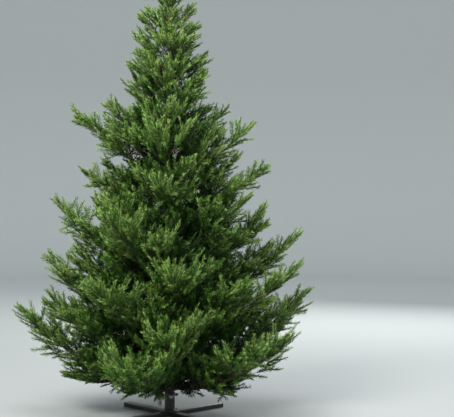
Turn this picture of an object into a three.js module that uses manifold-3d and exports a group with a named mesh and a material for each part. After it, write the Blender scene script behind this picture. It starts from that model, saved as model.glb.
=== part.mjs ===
// An artificial Christmas tree, 2.1 m tall, on a plain steel cross stand.
// Millimetres, +Z up. The origin is on the floor, under the middle of the pole. -Y is the front.
import * as THREE from "three";
import { mergeVertices } from "three/addons/utils/BufferGeometryUtils.js";
import Module from "manifold-3d";

const wasm = await Module();
wasm.setup();

// Driving dimensions
const TREE_HEIGHT = 2100;
const GAP = 0.3;
const ROUND_SIDES = 12;
const MERGE_DISTANCE = 1e-3;

const BAR_LENGTH = 640;
const BAR_WIDTH = 40;
const BAR_HEIGHT = 20;
const BAR_TURN = 40;

const SOCKET_TOP = 112;
const SOCKET_OUTER = 23.5;
const SOCKET_INNER = 20.5;
const SOCKET_FLANGE = 46;
const SOCKET_FLANGE_HEIGHT = 6;
const SOCKET_WELD = 4;
const SCREW_HEIGHT = 92;
const SCREW_RADIUS = 4;
const SCREW_LENGTH = 20;
const SCREW_SIDES = 8;
const SCREW_WING = { across: 24, thick: 4, tall: 16 };
const SCREWS = 3;

// The pole is three plugged tubes, each thinner than the one below it.
const POLE = [
  { top: 765, radius: 19 },
  { top: 1365, radius: 16 },
  { top: 1850, radius: 12.5 },
];
const POLE_TOP = POLE[2].top;
const POLE_STEP = 8;
const COLLAR_HEIGHT = 24;
const COLLAR_PROUD = 5;
const COLLAR_CHAMFER = 2;

// One whorl of boughs each. height is where its boughs leave the pole, turn is the first bough's azimuth in
// degrees, right and left are how far its tips reach from the pole on the two sides of the front view,
// slope is the boughs' rise at the pole, and curl is how much further their tips have swept up.
const WHORLS = [
  { height: 130, boughs: 5, turn: 170, right: 720, left: 725, slope: 0.06, curl: 345 },
  { height: 225, boughs: 4, turn: 2, right: 662, left: 570, slope: 0.12, curl: 262 },
  { height: 345, boughs: 4, turn: 64, right: 630, left: 605, slope: 0.28, curl: 260 },
  { height: 440, boughs: 4, turn: 6, right: 618, left: 465, slope: 0.34, curl: 200 },
  { height: 575, boughs: 4, turn: 64, right: 445, left: 620, slope: 0.42, curl: 195 },
  { height: 730, boughs: 4, turn: 50, right: 410, left: 430, slope: 0.46, curl: 95 },
  { height: 925, boughs: 4, turn: 0, right: 450, left: 410, slope: 0.38, curl: 55 },
  { height: 1080, boughs: 4, turn: 4, right: 390, left: 425, slope: 0.55, curl: 80 },
  { height: 1185, boughs: 3, turn: 30, right: 290, left: 330, slope: 0.76, curl: 30 },
  { height: 1335, boughs: 3, turn: 70, right: 170, left: 170, slope: 0.92, curl: 20 },
  { height: 1455, boughs: 3, turn: 0, right: 155, left: 200, slope: 0.9, curl: 12 },
  { height: 1605, boughs: 3, turn: 60, right: 125, left: 155, slope: 1.0, curl: 8 },
];
// The boughs to the front and the back sweep up less than those at the sides, by this factor.
const FRONT_CURL = 0.5;
// How far one bough may differ from its whorl: degrees for even and odd boughs, then shares.
const WANDER = [6, 14];
const REACH_SPREAD = 0.06;
const SLOPE_SPREAD = 0.05;
const CURL_SPREAD = 0.22;
const MOST_BOUGHS = 9;
// The two lowest whorls show a bare limb before their foliage starts.
const LIMBED_WHORLS = 2;
const LIMB_SHARE = 0.24;
const LIMB_ROOT_RADIUS = 7.5;
const LIMB_TIP_RADIUS = 2.4;
const LIMB_SIDES = 8;
const LIMB_STEPS = 4;
const SWAY = 22;

// A mass is a three-sided stem with a five-fingered spray of needles at each step along it.
const STEM_STEPS = 4;
const STEM_SIDES = 3;
const LIMBED_FIRST_SPRAY = 0.3;
const FIRST_SPRAY = 0.2;
const LAST_SPRAY = 0.88;
const FEWEST_SPRAYS = 3;
const SPRAYS_PER_METRE = 4.3;
const SMALLEST_DETAIL = 1;
const SHORTEST_SPRAY = 70;
const LONGEST_SPRAY = 230;
const SPRAY_SHARES = [1, 0.86, 0.74, 0.63, 0.52, 0.43];
const SPRAY_SWINGS = [1, 0.78, 0.58];
const SPRAY_ROLL = 0.6;
const STEM_END = 0.8;
const TIP_SPRAY = 0.74;
// The leader is the upright shoot on top of the pole.
const LEADER_SPREAD = 0.6;
const LEADER_ROOT_RADIUS = 5;
const LEADER_FIRST_SPRAY = 0.03;
const LEADER_TIP_SPRAY = 0.56;
const LEADER_LENGTHS = [190, 130];
const LEADER_LEANS = [0.9, 0.5];
const LEADER_TURN = 137.5;
// The sprays stand in three rows along a bough: left of it, on top of it and right of it.
const ROWS = [1, 0, -1];
// From the first spray of a bough to its last: the degrees it turns off the bough, and how it lifts.
const SPRAY_TURNS = [60, 32];
const SPRAY_LIFTS = [0.1, 0.3];
const TURN_SPREAD = 6;
const LIFT_SPREAD = 0.12;
const ROLL_SPREAD = 0.3;
// A spray's length from first to last, as a share of the bough's reach on top of a base.
const SPRAY_LENGTHS = [0.42, 0.1];
const SPRAY_BASE = 75;
const LENGTH_SPREAD = 0.12;
const CROWN_FLOOR = 34;
const MASS_MARGIN = 3;
const LIMB_MARGIN = 11;

// Small helpers
const lerp = THREE.MathUtils.lerp;
const radians = THREE.MathUtils.degToRad;
const UP = new THREE.Vector3(0, 0, 1);

// A repeatable random number from 0 to 1 for each set of three whole numbers.
function chance(a, b, c) {
  const wave = Math.sin(a * 12.9898 + b * 78.233 + c * 37.719) * 43758.5453;
  return wave - Math.floor(wave);
}

function jitter(a, b, c, size) {
  return (2 * chance(a, b, c) - 1) * size;
}

function solidOf(geometry) {
  const bare = new THREE.BufferGeometry().setAttribute("position", geometry.getAttribute("position"));
  if (geometry.index) bare.setIndex(geometry.index);
  const merged = mergeVertices(bare, MERGE_DISTANCE);
  return new wasm.Manifold(
    new wasm.Mesh({
      numProp: 3,
      vertProperties: new Float32Array(merged.attributes.position.array),
      triVerts: new Uint32Array(merged.index.array),
    }),
  );
}

function geometryOf(solid) {
  const mesh = solid.getMesh();
  const geometry = new THREE.BufferGeometry();
  geometry.setAttribute("position", new THREE.BufferAttribute(new Float32Array(mesh.vertProperties), 3));
  geometry.setIndex(new THREE.BufferAttribute(new Uint32Array(mesh.triVerts), 1));
  const faceted = geometry.toNonIndexed();
  faceted.computeVertexNormals();
  return faceted;
}

// Joins the pieces, drops loose scraps and fills any hollow that the joining sealed.
function fuse(geometries) {
  let whole = solidOf(geometries[0]);
  for (const geometry of geometries.slice(1)) {
    whole = whole.add(solidOf(geometry));
  }
  const bodies = whole.simplify(SMALLEST_DETAIL).decompose();
  bodies.sort((a, b) => b.volume() - a.volume());
  return geometryOf(bodies[0]);
}

function cut(geometry, tool) {
  return geometryOf(solidOf(geometry).subtract(solidOf(tool)));
}

function box(x, y, z, centreX, centreY, bottom) {
  return new THREE.BoxGeometry(x, y, z).translate(centreX, centreY, bottom + z / 2);
}

// Turns a profile of [radius, height] points round the Z axis.
function turned(profile, sides) {
  const points = profile.map(([radius, height]) => new THREE.Vector2(radius, height));
  return new THREE.LatheGeometry(points, sides).rotateX(Math.PI / 2);
}

// A tapering limb along a curve: a cylinder whose rings are set on the curve, one after another.
function taperedLimb(curve, from, to, rootRadius, tipRadius, sides, steps) {
  const shape = new THREE.CylinderGeometry(tipRadius, rootRadius, 1, sides, steps);
  const place = shape.getAttribute("position");
  for (let i = 0; i < place.count; i += 1) {
    const t = lerp(from, to, place.getY(i) + 0.5);
    const forward = tangent(curve, t);
    const side = new THREE.Vector3().crossVectors(forward, UP).normalize();
    if (side.lengthSq() < 0.5) side.set(0, 1, 0);
    const normal = new THREE.Vector3().crossVectors(side, forward);
    const point = curve(t).addScaledVector(side, place.getX(i)).addScaledVector(normal, place.getZ(i));
    place.setXYZ(i, point.x, point.y, point.z);
  }
  return shape;
}

function tangent(curve, t) {
  const step = 0.01;
  return curve(t + step).sub(curve(t - step)).normalize();
}

// Materials
const BARK = new THREE.MeshStandardMaterial({ color: 0x3d2c1e, roughness: 0.9, metalness: 0 });
const NEEDLES = new THREE.MeshStandardMaterial({ color: 0x2f5a1c, roughness: 0.6, metalness: 0 });
const STEEL = new THREE.MeshStandardMaterial({ color: 0x1d211d, roughness: 0.45, metalness: 0.6 });

function named(name, geometry, material) {
  const mesh = new THREE.Mesh(geometry, material);
  mesh.name = name;
  return mesh;
}

// The stand: two steel bars halved into each other, and a socket with wing screws on top of them.
function makeStand() {
  const stand = new THREE.Group();
  stand.rotation.z = radians(BAR_TURN);
  const half = BAR_HEIGHT / 2;
  const notch = BAR_WIDTH + 2 * GAP;
  const along = box(BAR_LENGTH, BAR_WIDTH, BAR_HEIGHT, 0, 0, 0);
  const across = box(BAR_WIDTH, BAR_LENGTH, BAR_HEIGHT, 0, 0, 0);
  const topNotch = box(notch, 2 * BAR_WIDTH, BAR_HEIGHT, 0, 0, half);
  const bottomNotch = box(2 * BAR_WIDTH, notch, BAR_HEIGHT, 0, 0, half + GAP - BAR_HEIGHT);
  stand.add(named("stand_bar_lower", cut(along, topNotch), STEEL));
  stand.add(named("stand_bar_upper", cut(across, bottomNotch), STEEL));
  const socket = named("stand_socket", socketGeometry(), STEEL);
  socket.position.z = BAR_HEIGHT + GAP;
  stand.add(socket);
  return stand;
}

// A tube on a round flange, bored for the pole, with wing screws that stand out of its wall.
function socketGeometry() {
  const height = SOCKET_TOP - BAR_HEIGHT - GAP;
  const tube = turned(
    [
      [SOCKET_INNER, 0],
      [SOCKET_FLANGE, 0],
      [SOCKET_FLANGE, SOCKET_FLANGE_HEIGHT],
      [SOCKET_OUTER + SOCKET_WELD / 2, SOCKET_FLANGE_HEIGHT + SOCKET_WELD / 2],
      [SOCKET_OUTER, SOCKET_FLANGE_HEIGHT + SOCKET_WELD],
      [SOCKET_OUTER, height],
      [SOCKET_INNER, height],
      [SOCKET_INNER, 0],
    ],
    2 * ROUND_SIDES,
  );
  const pieces = [tube];
  for (let i = 0; i < SCREWS; i += 1) {
    const turn = (i * 2 * Math.PI) / SCREWS;
    const start = (SOCKET_INNER + SOCKET_OUTER) / 2;
    const shank = new THREE.CylinderGeometry(SCREW_RADIUS, SCREW_RADIUS, SCREW_LENGTH, SCREW_SIDES);
    shank.rotateZ(Math.PI / 2).translate(start + SCREW_LENGTH / 2, 0, SCREW_HEIGHT - BAR_HEIGHT);
    const wing = box(
      SCREW_WING.thick,
      SCREW_WING.across,
      SCREW_WING.tall,
      start + SCREW_LENGTH,
      0,
      SCREW_HEIGHT - BAR_HEIGHT - SCREW_WING.tall / 2,
    );
    pieces.push(shank.rotateZ(turn), wing.rotateZ(turn));
  }
  return fuse(pieces);
}

// The pole: its stepped outline, with a collar where each whorl's boughs are hooked on.
function poleRadius(height) {
  const section = POLE.find(({ top }) => height < top);
  return section ? section.radius : 0;
}

function makePole() {
  const foot = BAR_HEIGHT + GAP;
  const profile = [
    [0, foot],
    [POLE[0].radius, foot],
  ];
  for (const { height } of WHORLS) {
    const steps = POLE.slice(0, -1).filter(({ top }) => top < height && profile.at(-1)[1] < top);
    for (const { top, radius } of steps) {
      profile.push([radius, top - POLE_STEP], [poleRadius(top), top]);
    }
    const radius = poleRadius(height);
    const proud = radius + COLLAR_PROUD;
    const low = height - COLLAR_HEIGHT / 2;
    const high = height + COLLAR_HEIGHT / 2;
    profile.push([radius, low], [proud, low + COLLAR_CHAMFER], [proud, high - COLLAR_CHAMFER], [radius, high]);
  }
  const last = POLE.at(-1);
  profile.push([last.radius, POLE_TOP - POLE_STEP], [last.radius / 2, POLE_TOP], [0, POLE_TOP]);
  return named("trunk", turned(profile, ROUND_SIDES), BARK);
}

// Where every bough runs. A bough's own frame has X outward from the pole and Z up.
function reachOf(whorl, azimuth) {
  const middle = (whorl.right + whorl.left) / 2;
  return middle + ((whorl.right - whorl.left) / 2) * Math.cos(azimuth);
}

function listBoughs() {
  const boughs = [];
  WHORLS.forEach((whorl, w) => {
    for (let k = 0; k < whorl.boughs; k += 1) {
      const main = k === 0 ? 0 : 1;
      const wander = main * WANDER[k % 2];
      const azimuth = radians(whorl.turn + (k * 360) / whorl.boughs + jitter(w, k, 1, wander));
      const reach = reachOf(whorl, azimuth) * (1 + jitter(w, k, 2, REACH_SPREAD * main));
      const slope = whorl.slope + jitter(w, k, 3, SLOPE_SPREAD);
      const sidewise = Math.cos(azimuth) ** 2;
      const curl = whorl.curl * (1 + jitter(w, k, 4, CURL_SPREAD * main)) * lerp(FRONT_CURL, 1, sidewise);
      const sway = jitter(w, k, 5, SWAY);
      const limbed = w < LIMBED_WHORLS;
      const lean = LIMB_ROOT_RADIUS * Math.sin(Math.atan(slope));
      const start = poleRadius(whorl.height) + COLLAR_PROUD + GAP + lean;
      const name = `w${w + 1}_${k + 1}`;
      boughs.push({ name, w, k, azimuth, reach, slope, curl, sway, limbed, start, height: whorl.height });
    }
  });
  return boughs;
}

function boughCurve(bough) {
  return (t) => {
    const out = (bough.reach - bough.start) * t;
    const rise = bough.slope * out + bough.curl * Math.abs(t) * t;
    return new THREE.Vector3(bough.start + out, bough.sway * Math.sin(Math.PI * t), bough.height + rise);
  };
}

function keyOf(bough) {
  return bough.w * MOST_BOUGHS + bough.k;
}

const BOUGHS = listBoughs();
const LEADER = {
  name: "leader",
  w: WHORLS.length,
  k: 0,
  azimuth: 0,
  reach: TREE_HEIGHT - POLE_TOP,
  limbed: false,
};

function leaderCurve(t) {
  return new THREE.Vector3(0, 0, lerp(POLE_TOP + GAP, TREE_HEIGHT, t));
}

// Each mass keeps to the space that is nearer to its own bough than to any other.
const AXIS_STEPS = 14;
const AXES = [...BOUGHS, LEADER].map((bough) => {
  const curve = bough === LEADER ? leaderCurve : boughCurve(bough);
  const points = [];
  for (let i = 0; i <= AXIS_STEPS; i += 1) {
    points.push(curve(i / AXIS_STEPS).applyAxisAngle(UP, bough.azimuth));
  }
  return { bough, points };
});
const SEGMENT = new THREE.Line3();
const NEAREST = new THREE.Vector3();

function distanceToAxis(point, axis) {
  let best = Infinity;
  for (let i = 0; i < axis.points.length - 1; i += 1) {
    SEGMENT.set(axis.points[i], axis.points[i + 1]);
    SEGMENT.closestPointToPoint(point, true, NEAREST);
    best = Math.min(best, NEAREST.distanceTo(point));
  }
  return best;
}

function keepsToItsSpace(points, bough) {
  const own = AXES.find((axis) => axis.bough === bough);
  return points.every((local) => {
    const point = local.clone().applyAxisAngle(UP, bough.azimuth);
    const clearOfPole = poleRadius(point.z) + COLLAR_PROUD + MASS_MARGIN;
    const beside = Math.hypot(point.x, point.y) > clearOfPole || point.z > POLE_TOP;
    if (!beside || point.z < CROWN_FLOOR || point.z > TREE_HEIGHT) return false;
    const mine = distanceToAxis(point, own);
    return AXES.every((axis) => {
      if (axis === own) return true;
      const other = distanceToAxis(point, axis);
      return other > mine + 2 * MASS_MARGIN && other > LIMB_MARGIN;
    });
  });
}

// A spray of needles: a narrow twig that opens into a flat hand of five fingers whose tips lift, thick in
// the palm. Its rim is given in shares of its length, along it, across it and up.
const HAND = [
  [0.0, 0.03, 0.0],
  [0.48, 0.42, 0.1],
  [0.55, 0.18, 0.02],
  [0.84, 0.3, 0.1],
  [0.74, 0.1, 0.02],
];
const HAND_PALM = 0.42;
const HAND_THICKNESS = 0.11;
const HAND_CREST = 0.02;
const TIP_LIFT = 0.03;

function handSpray(root, forward, normal, length, spread = 1) {
  const across = new THREE.Vector3().crossVectors(normal, forward);
  const at = (u, v, lift) =>
    root
      .clone()
      .addScaledVector(forward, u * length)
      .addScaledVector(across, v * length * spread)
      .addScaledVector(normal, lift * length);
  const right = HAND.map(([u, v, lift]) => at(u, -v, lift));
  const left = HAND.map(([u, v, lift]) => at(u, v, lift)).reverse();
  const rim = [...right, at(1, 0, TIP_LIFT), ...left];
  const top = at(HAND_PALM, 0, HAND_THICKNESS / 2 + HAND_CREST);
  const bottom = at(HAND_PALM, 0, -HAND_THICKNESS / 2);
  const faces = [];
  rim.forEach((point, i) => {
    const next = rim[(i + 1) % rim.length];
    faces.push(top, point, next, bottom, next, point);
  });
  const geometry = new THREE.BufferGeometry().setFromPoints(faces);
  return { geometry, probes: probePoints(faces) };
}

// Points spread over a set of triangles, to test whether they keep to a space.
function probePoints(faces) {
  const probes = [];
  for (let i = 0; i < faces.length; i += 3) {
    const [a, b, c] = faces.slice(i, i + 3);
    probes.push(b.clone(), new THREE.Vector3().lerpVectors(b, c, 0.5));
    probes.push(new THREE.Vector3().lerpVectors(a, b, 0.5), new THREE.Vector3().lerpVectors(a, b, 0.75));
  }
  return probes;
}

// The direction of spray k, which leaves the curve at t, on one side of it or round an upright leader.
function sprayDirection(bough, curve, t, k, swing) {
  const forward = tangent(curve, t);
  if (bough === LEADER) {
    const round = radians(k * LEADER_TURN);
    const out = new THREE.Vector3(Math.cos(round), Math.sin(round), 0);
    return out.multiplyScalar(lerp(...LEADER_LEANS, t)).add(UP).normalize();
  }
  const side = new THREE.Vector3().crossVectors(UP, forward).normalize();
  const rise = new THREE.Vector3().crossVectors(forward, side);
  const turn = swing * radians(lerp(...SPRAY_TURNS, t) + jitter(keyOf(bough), k, 6, TURN_SPREAD));
  const hand = ROWS[k % ROWS.length];
  const sideLift = lerp(...SPRAY_LIFTS, t) + jitter(keyOf(bough), k, 7, LIFT_SPREAD);
  const lift = hand === 0 ? Math.sin(turn) : sideLift;
  return forward
    .multiplyScalar(Math.cos(turn))
    .addScaledVector(side, hand * Math.sin(turn))
    .addScaledVector(rise, lift)
    .normalize();
}

function sprayLength(bough, t, k) {
  const share = lerp(...SPRAY_LENGTHS, t);
  const full = bough === LEADER ? lerp(...LEADER_LENGTHS, t) : bough.reach * share + SPRAY_BASE;
  return Math.min(full, LONGEST_SPRAY) * (1 + jitter(keyOf(bough), k, 8, LENGTH_SPREAD));
}

// A spray as long as its space allows, or nothing.
function sideSpray(bough, curve, t, k) {
  const root = curve(t);
  const full = sprayLength(bough, t, k);
  const roll = SPRAY_ROLL * ROWS[k % ROWS.length] + jitter(keyOf(bough), k, 9, ROLL_SPREAD);
  for (const share of SPRAY_SHARES) {
    const length = full * share;
    if (length < SHORTEST_SPRAY) return [];
    for (const swing of SPRAY_SWINGS) {
      const forward = sprayDirection(bough, curve, t, k, swing);
      const normal = UP.clone().addScaledVector(forward, -forward.dot(UP)).normalize();
      normal.applyAxisAngle(forward, roll);
      const spray = handSpray(root, forward, normal, length, bough === LEADER ? LEADER_SPREAD : 1);
      if (keepsToItsSpace(spray.probes, bough)) return [spray.geometry];
    }
  }
  return [];
}

// The spray at the end of the stem, whose tip is the bough's own tip.
function tipSpray(bough, curve) {
  const end = curve(1);
  const root = curve(bough === LEADER ? LEADER_TIP_SPRAY : TIP_SPRAY);
  const forward = end.clone().sub(root);
  const length = forward.length() / Math.hypot(1, TIP_LIFT);
  forward.normalize();
  const side = new THREE.Vector3(0, 1, 0);
  const normal = new THREE.Vector3().crossVectors(forward, side).normalize();
  return handSpray(root, forward, normal, length, bough === LEADER ? LEADER_SPREAD : 1).geometry;
}

function firstSpray(bough) {
  if (bough === LEADER) return LEADER_FIRST_SPRAY;
  return bough.limbed ? LIMBED_FIRST_SPRAY : FIRST_SPRAY;
}

function massGeometry(bough, curve) {
  const from = bough.limbed ? LIMB_SHARE + GAP / bough.reach : 0;
  const rootRadius = bough === LEADER ? LEADER_ROOT_RADIUS : lerp(LIMB_ROOT_RADIUS, LIMB_TIP_RADIUS, from);
  const stem = taperedLimb(curve, from, STEM_END, rootRadius, LIMB_TIP_RADIUS, STEM_SIDES, STEM_STEPS);
  const pieces = [stem, tipSpray(bough, curve)];
  const sprays = Math.round(FEWEST_SPRAYS + (SPRAYS_PER_METRE * bough.reach) / 1000);
  for (let k = 0; k < sprays; k += 1) {
    const first = firstSpray(bough);
    const t = lerp(first, LAST_SPRAY, (k + 0.5 * chance(bough.w, bough.k, k)) / sprays);
    pieces.push(...sideSpray(bough, curve, t, k));
  }
  return fuse(pieces);
}

// The tree, whorl by whorl
const tree = new THREE.Group();
tree.add(makeStand(), makePole());
for (const bough of BOUGHS) {
  const turnedGroup = new THREE.Group();
  turnedGroup.rotation.z = bough.azimuth;
  const curve = boughCurve(bough);
  if (bough.limbed) {
    const tip = lerp(LIMB_ROOT_RADIUS, LIMB_TIP_RADIUS, LIMB_SHARE);
    const limb = taperedLimb(curve, 0, LIMB_SHARE, LIMB_ROOT_RADIUS, tip, LIMB_SIDES, LIMB_STEPS);
    turnedGroup.add(named(`bough_${bough.name}`, limb, BARK));
  }
  turnedGroup.add(named(`foliage_${bough.name}`, massGeometry(bough, curve), NEEDLES));
  tree.add(turnedGroup);
}
tree.add(named("foliage_leader", massGeometry(LEADER, leaderCurve), NEEDLES));

export default tree;
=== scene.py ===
# The looks of an artificial Christmas tree on a crossed steel foot. Metres, +Z up, -Y to the front.
import math

import bpy
import numpy as np
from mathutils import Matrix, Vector


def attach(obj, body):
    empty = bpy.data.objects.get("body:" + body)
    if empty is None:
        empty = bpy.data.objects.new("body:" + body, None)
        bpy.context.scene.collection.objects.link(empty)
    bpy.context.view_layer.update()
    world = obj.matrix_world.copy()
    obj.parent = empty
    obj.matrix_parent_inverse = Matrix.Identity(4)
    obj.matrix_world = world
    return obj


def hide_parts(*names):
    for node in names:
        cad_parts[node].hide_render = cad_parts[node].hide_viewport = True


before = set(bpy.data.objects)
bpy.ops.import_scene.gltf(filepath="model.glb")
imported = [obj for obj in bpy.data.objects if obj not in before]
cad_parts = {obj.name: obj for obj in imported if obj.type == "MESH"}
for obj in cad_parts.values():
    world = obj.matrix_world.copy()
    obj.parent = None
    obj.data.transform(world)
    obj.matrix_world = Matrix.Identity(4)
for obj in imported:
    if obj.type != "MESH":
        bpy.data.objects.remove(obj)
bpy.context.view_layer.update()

# Driving dimensions, the part's own
TREE_HEIGHT = 2.1
GAP = 0.0003
# The pole's tubes from the floor up: the top and the radius of each
POLE = [(0.765, 0.019), (1.365, 0.016), (1.850, 0.0125)]
POLE_TOP = POLE[-1][0]
COLLAR_HEIGHT = 0.024
COLLAR_PROUD = 0.005
BAR_LENGTH = 0.640
BAR_WIDTH = 0.040
BAR_HEIGHT = 0.020
BAR_TURN = 40
ARMS = 4
SOCKET_TOP = 0.112
SOCKET_OUTER = 0.0235
SOCKET_INNER = 0.0205
SOCKET_FLANGE = 0.046
FLANGE_HEIGHT = 0.006
SCREWS = 3
SCREW_HEIGHT = 0.092
SCREW_RADIUS = 0.004
SCREW_LENGTH = 0.020
WING_ACROSS = 0.024
WING_THICK = 0.004
WING_TALL = 0.016

# One whorl of boughs a line: height, boughs, first azimuth, reach to the right and to the left of the front
# view, rise at the pole, and how far the tips have swept up beyond it.
WHORLS = [
    (0.130, 5, 170, 0.720, 0.725, 0.06, 0.345),
    (0.225, 4, 2, 0.662, 0.570, 0.12, 0.262),
    (0.345, 4, 64, 0.630, 0.605, 0.28, 0.260),
    (0.440, 4, 6, 0.618, 0.465, 0.34, 0.200),
    (0.575, 4, 64, 0.445, 0.620, 0.42, 0.195),
    (0.730, 4, 50, 0.410, 0.430, 0.46, 0.095),
    (0.925, 4, 0, 0.450, 0.410, 0.38, 0.055),
    (1.080, 4, 4, 0.390, 0.425, 0.55, 0.080),
    (1.185, 3, 30, 0.290, 0.330, 0.76, 0.030),
    (1.335, 3, 70, 0.170, 0.170, 0.92, 0.020),
    (1.455, 3, 0, 0.155, 0.200, 0.90, 0.012),
    (1.605, 3, 60, 0.125, 0.155, 1.00, 0.008),
]
# Shorter boughs between the whorls, which close the crown round the pole. The last ones close its lower part.
INFILL = [
    (0.150, 5, 30, 0.400, 0.500, -0.06, 0.060),
    (0.180, 5, 16, 0.440, 0.440, 0.10, 0.090),
    (0.275, 4, 2, 0.470, 0.560, 0.24, 0.160),
    (0.385, 4, 38, 0.470, 0.480, 0.34, 0.100),
    (0.500, 4, 4, 0.475, 0.440, 0.44, 0.100),
    (0.630, 4, 2, 0.455, 0.410, 0.42, 0.075),
    (0.790, 4, 34, 0.350, 0.350, 0.52, 0.060),
    (0.865, 4, 60, 0.320, 0.320, 0.50, 0.050),
    (0.985, 4, 14, 0.330, 0.310, 0.52, 0.045),
    (1.150, 4, 20, 0.260, 0.300, 0.70, 0.030),
    (1.280, 4, 18, 0.195, 0.170, 0.75, 0.020),
    (1.400, 4, 88, 0.160, 0.175, 1.10, 0.012),
    (1.530, 4, 30, 0.130, 0.130, 1.05, 0.008),
    (1.680, 4, 80, 0.110, 0.110, 1.15, 0.006),
    (1.765, 4, 30, 0.100, 0.100, 1.10, 0.005),
    (0.310, 5, 22, 0.400, 0.470, 0.24, 0.110),
]
MOST_BOUGHS = 9
# The boughs to the front and the back sweep up less than those at the sides, by this factor.
FRONT_CURL = 0.5
# How far one bough may differ from its whorl: degrees for even and odd boughs, then shares and metres.
WANDER = (6, 14)
REACH_SPREAD = 0.06
SLOPE_SPREAD = 0.05
CURL_SPREAD = 0.22
SWAY = 0.022

# A bough's limb: infill boughs are slimmer, by their factor, and a limb ends inside its foliage.
LIMB_ROOT_RADIUS = 0.0072
LIMB_TIP_RADIUS = 0.0023
INFILL_THICKNESS = 0.55
LIMB_END = 0.88
LIMB_RINGS = 10
LIMB_SIDES = 7
TANGENT_STEP = 0.01
# Brown tape is wound round the pole and the main limbs, each lap a step over the last.
TAPE_PITCH = 0.018
RINGS_PER_LAP = 3
LIMB_TAPE_STEP = 0.0007
POLE_TAPE_STEP = 0.0008

# Branchlets stand in rows along a bough: left, right, on top, left, right and below. A row gives the hand,
# the rise and the share of the full length.
ROWS = [(1, 0.16, 1.0), (-1, 0.16, 1.0), (0, 0.65, 0.68), (1, 0.10, 0.92), (-1, 0.10, 0.92), (0, -0.30, 0.34)]
BRANCHLETS_LEAST = 4
BRANCHLETS_PER_METRE = 16
FIRST_BRANCHLET = 0.10
LAST_BRANCHLET = 0.92
# Branchlets stand closer towards the bough's tip by this power.
BRANCHLET_CROWDING = 0.72
# The degrees that a branchlet turns off its bough, from the bough's root to its tip.
BRANCHLET_TURNS = (60, 27)
LEAST_SWING = 0.7
TURN_SPREAD = 7
LIFT_SPREAD = 0.10
# A branchlet's length: a share of what is left of the bough, on top of a base.
BRANCHLET_SHARE = 0.52
BRANCHLET_BASE = 0.050
LONGEST_BRANCHLET = 0.225
LENGTH_SPREAD = 0.14
# How far a branchlet's fan is rolled, in radians. Fans of the boughs to the side lie flatter, by a factor.
BRANCHLET_ROLL = 0.5
ROLL_SPREAD = 0.5
SIDE_ROLL = 0.5
# The twig at a bough's tip: its share of the bough, how much further back it starts, its roll and breadth.
LAST_TWIG = 0.20
LAST_TWIG_ROOT = 0.04
LAST_TWIG_ROLL = 0.4
LAST_TWIG_BREADTH = 0.68
# How far a twig bends up along its length, on a bough to the side and on one to the front or back.
SIDE_PULL = 0.08
FRONT_PULL = 0.38

# The leader is the upright shoot on top of the pole, with branchlets in a spiral round it.
LEADER_KEY = 200
LEADER_ROOT_RADIUS = 0.0045
LEADER_TIP_MARGIN = 0.004
LEADER_BRANCHLETS = 24
LEADER_LAST_BRANCHLET = 0.62
LEADER_CROWDING = 1.3
LEADER_LEANS = (0.85, 0.20)
LEADER_LENGTHS = (0.115, 0.030)
LEADER_LENGTH_SPREAD = 0.12
LEADER_TIP_SHARE = 0.45
LEADER_TIP_BREADTH = 0.1
SPIRAL_TURN = 137.5

# A branchlet is a fan: side shoots fork from it left and right in one plane, down to fingers of needles.
FORKING_LENGTH = 0.108
LAST_ORDER = 3
FORK_SPACING = 0.035
SIDE_FORK_SPACING = 0.052
FEWEST_FORKS = 2
FORK_PLACES = (0.14, 0.86)
FORK_SCATTER = (0.3, 0.7)
FORK_ANGLES = (24, 42)
NARROWEST_FORK = 0.5
FORK_LIFT = 0.05
FORK_LIFT_SPREAD = 0.10
# A side shoot's length: a share of what is left of its twig, on top of a base.
SHOOT_SHARE = 0.58
SHOOT_BASE = 0.050
SHOOT_SCATTER = (0.88, 1.12)
SHOOT_TILT = 0.15
# A side shoot bends forward by one pull, and up by a share of its bough's.
FORWARD_PULL = 0.18
FINGER_PULL_SHARE = 0.55
TWIG_ROOT_RADIUS = 0.0024
TWIG_TIP_RADIUS = 0.0009
TWIG_SIDES = 4
TWIG_RINGS = 4
TWIG_INTO_FINGER = 0.15

# Fingers of needles. One that would be shorter than a share of the shortest is left out.
FINGER_LENGTH = 0.072
FINGER_SHORTEST = 0.045
FINGER_LONGEST = 0.092
FINGER_SCATTER = (0.95, 1.12)
LEAST_FINGER_SHARE = 0.6
STEM_PLACES = (0.0, 0.94)
STEM_RADII = (0.0030, 0.0014)
STEM_SIDES = 3
# Single fingers along the limbs, which point every way.
LIMB_FINGER_SPACING = 0.022
LIMB_FINGER_PLACES = (0.02, 0.85)
LIMB_FINGER_SCATTER = 0.45
# Short upright shoots all round the pole.
POLE_SHOOT_SPACING = 0.016
FIRST_POLE_SHOOT = 0.16
POLE_SHOOT_RISES = (0.3, 0.9)
POLE_SHOOT_LENGTHS = (0.15, 0.21)
POLE_SHOOT_REACH = 0.8

# Needles. Those of the inner fingers, up to a share of the crown's reach, are fewer and larger.
NEEDLES_PER_METRE = 690
INNER_NEEDLES_PER_METRE = 380
INNER_SHARE = 0.46
INNER_NEEDLE_SCALE = 1.3
NEEDLE_LENGTH = 0.0190
NEEDLE_WIDTH = 0.0035
NEEDLE_FOLD = 0.22
NEEDLE_MIDDLE = 0.45
NEEDLE_STATIONS = (0.1, 0.9)
# Needles stand closer towards a finger's tip by this power.
TIP_CROWDING = 0.82
# How far a needle climbs out of its fan's plane, and how far it leans off the finger from root to tip.
NEEDLE_CLIMB = 16
CLIMB_SPREAD = 34
NEEDLE_LEANS = (50, 34)
LEAN_SPREAD = 8
NEEDLE_TWIST = 0.35
NEEDLE_SCATTER = (0.85, 1.12)
TIP_NEEDLE_SCALE = 0.9
# A finger shorter than the full one has shorter needles, down to a factor.
FULL_FINGER = 0.07
SHORT_FINGER_SCALE = 0.8
PIECE_NEEDLES = 96000

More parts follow.
